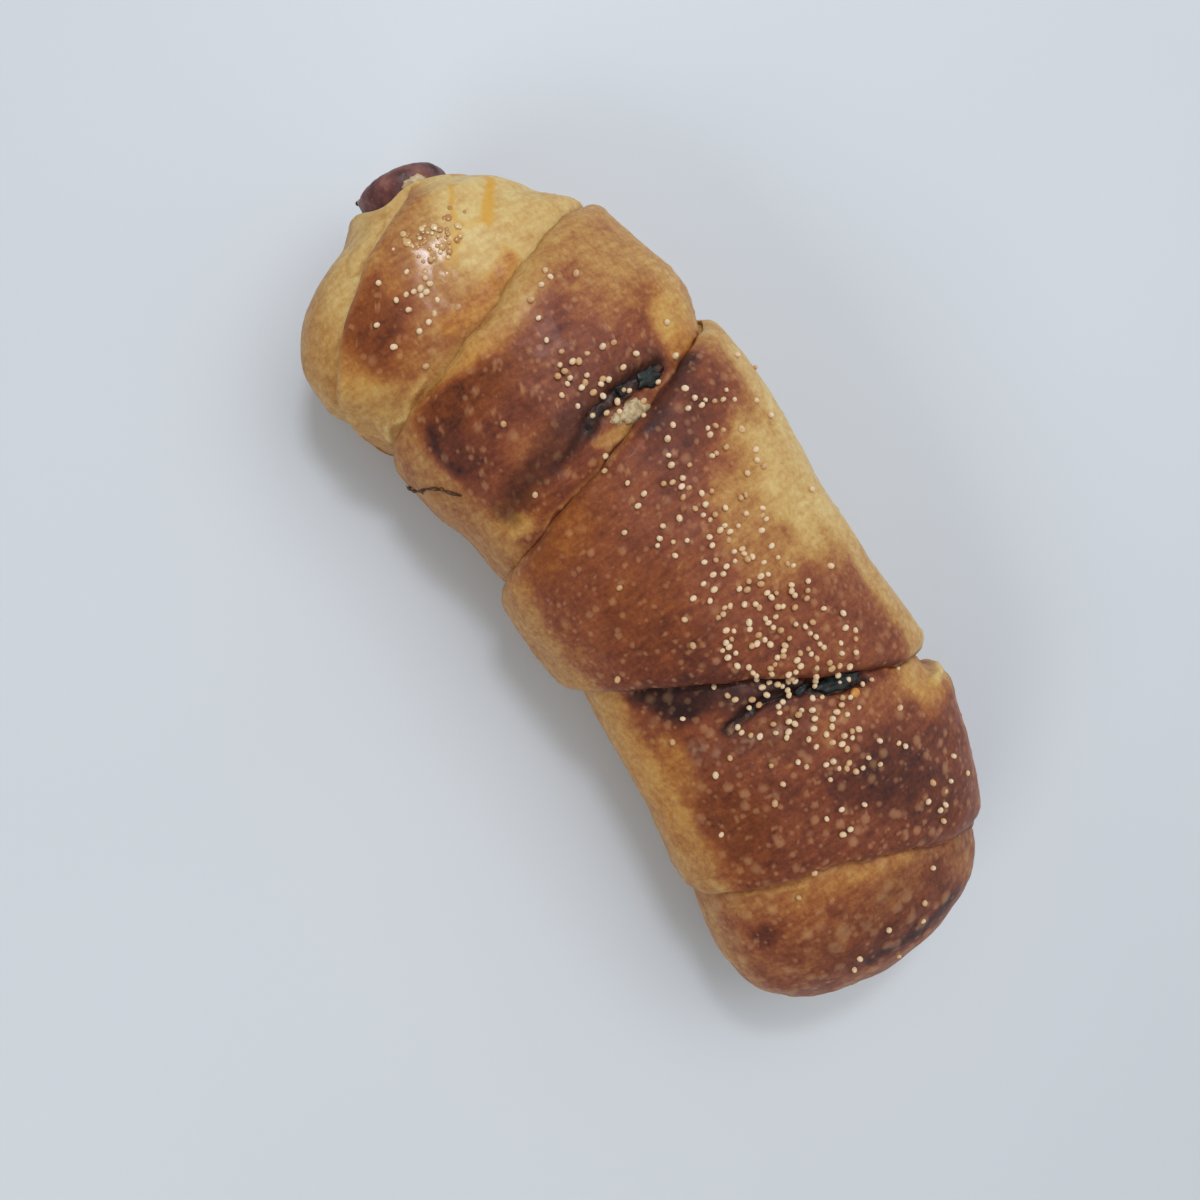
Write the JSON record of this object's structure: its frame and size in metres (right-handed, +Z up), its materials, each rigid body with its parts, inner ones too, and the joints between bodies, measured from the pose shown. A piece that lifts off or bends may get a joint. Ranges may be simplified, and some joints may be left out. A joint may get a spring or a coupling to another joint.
{
  "type": "sausage roll",
  "caption": "Baked sweet yeast dough wound in overlapping turns round a smoked sausage, glazed and strewn with poppy seed.",
  "frame": {"origin": "on the tray surface, under the middle of the whole roll", "axes": "+X along the roll from the sausage's showing end to the shut end, +Y across it, +Z up from the flat underside"},
  "size_m": [0.1964, 0.0784, 0.0503],
  "materials": {
    "crust": "egg-glazed baked crust, golden to dark brown",
    "sausage": "smoked sausage skin, maroon with paler streaks",
    "greens": "leaf filling baked nearly black"
  },
  "bodies": {
    "root": {"dough": "crust", "sausage": "sausage", "filling_upper": "greens", "filling_lower": "greens"}
  },
  "joints": []
}
